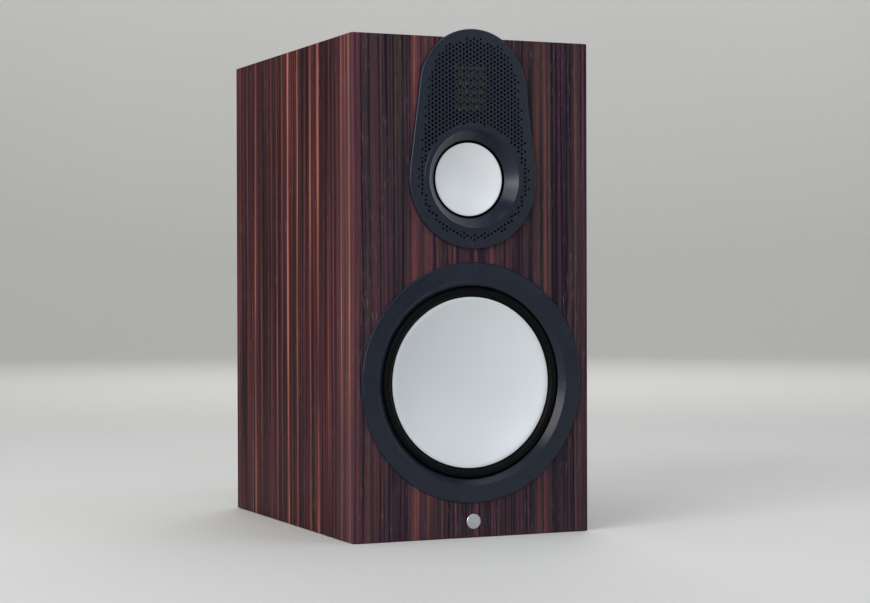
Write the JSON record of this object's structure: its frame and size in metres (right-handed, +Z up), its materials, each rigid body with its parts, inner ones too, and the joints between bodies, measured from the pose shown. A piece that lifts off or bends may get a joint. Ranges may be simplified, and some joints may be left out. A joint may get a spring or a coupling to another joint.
{
  "type": "bookshelf loudspeaker",
  "caption": "Upright box loudspeaker: a large pale cone low on a striped wood front, a small cone and a perforated plate above it, and a flared port and screw terminals behind",
  "frame": {"origin": "centre of the cabinet's underside", "axes": "+Z up along the cabinet's height, -Y out of the front where the cones face, +X to the right seen from the front"},
  "size_m": [0.26, 0.392, 0.5088],
  "materials": {
    "veneer": "satin lacquered dark striped veneer",
    "rear_finish": "fine matte black paint",
    "raw_board": "bare fibreboard",
    "trim_black": "satin blue-black moulding",
    "plate_black": "satin blue-black painted metal",
    "inner_black": "matte black moulding",
    "cone": "satin pale metal",
    "rubber": "matte black rubber",
    "foam": "closed-cell foam",
    "basket": "cast and painted",
    "steel": "zinc plated",
    "ferrite": "sintered magnet",
    "copper": "enamelled copper winding",
    "former": "thin sheet",
    "spider_cloth": "resin-stiffened cloth",
    "braid": "tinsel braid",
    "gold_foil": "gold coloured foil",
    "tweeter_steel": "blackened pole plate",
    "screw_black": "blackened steel",
    "badge": "satin silver",
    "insert": "turned brass",
    "gold_plate": "gold plated brass",
    "knob_positive": "clear red cap over plated brass",
    "knob_negative": "black cap over plated brass",
    "board_green": "glass-epoxy board",
    "capacitor": "film capacitor sleeve",
    "resistor": "white cement body",
    "lead": "insulated copper lead",
    "wadding": "loose fibre wadding"
  },
  "bodies": {
    "cabinet": {"front_baffle": "veneer", "left_side_panel": "veneer", "right_side_panel": "veneer", "top_panel": "veneer", "bottom_panel": "veneer", "rear_panel": "rear_finish", "shelf_brace": "raw_board", "stand_inserts": "insert", "badge": "badge", "woofer_trim_ring": "trim_black", "woofer_basket": "basket", "woofer_gasket": "foam", "woofer_surround": "rubber", "woofer_top_plate": "steel", "woofer_magnet": "ferrite", "woofer_yoke": "steel", "woofer_spider": "spider_cloth", "woofer_tag_strip": "inner_black", "woofer_tinsel_leads": "braid", "woofer_screws": "screw_black", "array_plate": "plate_black", "array_housing": "inner_black", "array_gasket": "foam", "array_screws": "screw_black", "mid_waveguide": "trim_black", "mid_basket": "basket", "mid_surround": "rubber", "mid_top_plate": "steel", "mid_magnet": "ferrite", "mid_yoke": "steel", "mid_spider": "spider_cloth", "mid_back_chamber": "inner_black", "tweeter_frame": "inner_black", "tweeter_pole_grid": "tweeter_steel", "tweeter_diaphragm": "gold_foil", "tweeter_magnets": "ferrite", "tweeter_rear_plate": "tweeter_steel", "tweeter_rear_cup": "inner_black", "port_tube": "trim_black", "terminal_plate": "trim_black", "terminal_screws": "screw_black", "binding_studs": "gold_plate", "post_collars": "inner_black", "crossover_board": "board_green", "crossover_standoffs": "inner_black", "crossover_coils": "copper", "crossover_capacitors": "capacitor", "crossover_resistors": "resistor", "internal_leads": "lead", "acoustic_wadding": "wadding"},
    "woofer_moving": {"woofer_cone": "cone", "woofer_coil_former": "former", "woofer_voice_coil": "copper"},
    "mid_moving": {"mid_cone": "cone", "mid_coil_former": "former", "mid_voice_coil": "copper"},
    "positive_carrier": {"positive_washer": "gold_plate"},
    "positive_clamp": {"positive_knob": "knob_positive"},
    "negative_carrier": {"negative_washer": "gold_plate"},
    "negative_clamp": {"negative_knob": "knob_negative"}
  },
  "joints": [
    {"name": "woofer_stroke", "type": "slide", "parent": "cabinet", "child": "woofer_moving", "axis": [0, -1, 0], "range_m": [-0.006, 0.006], "stiffness_N_per_m": 1500, "deforming": ["woofer_surround", "woofer_spider", "woofer_tinsel_leads"]},
    {"name": "mid_stroke", "type": "slide", "parent": "cabinet", "child": "mid_moving", "axis": [0, -1, 0], "range_m": [-0.0015, 0.0015], "stiffness_N_per_m": 1500, "deforming": ["mid_surround", "mid_spider"]},
    {"name": "positive_clamp_travel", "type": "slide", "parent": "cabinet", "child": "positive_carrier", "axis": [0, 1, 0], "range_m": [0, 0.0061]},
    {"name": "positive_knob_turn", "type": "hinge", "parent": "positive_carrier", "child": "positive_clamp", "pos_m": [0.022, 0.18, 0.112], "axis": [0, 1, 0], "range_deg": [0, 2160]},
    {"name": "negative_clamp_travel", "type": "slide", "parent": "cabinet", "child": "negative_carrier", "axis": [0, 1, 0], "range_m": [0, 0.0061]},
    {"name": "negative_knob_turn", "type": "hinge", "parent": "negative_carrier", "child": "negative_clamp", "pos_m": [-0.022, 0.18, 0.112], "axis": [0, 1, 0], "range_deg": [0, 2160]}
  ],
  "couplings": [
    {"joint": "positive_clamp_travel", "follows": "positive_knob_turn", "m_per_rad": 0.00015915},
    {"joint": "negative_clamp_travel", "follows": "negative_knob_turn", "m_per_rad": 0.00015915}
  ]
}
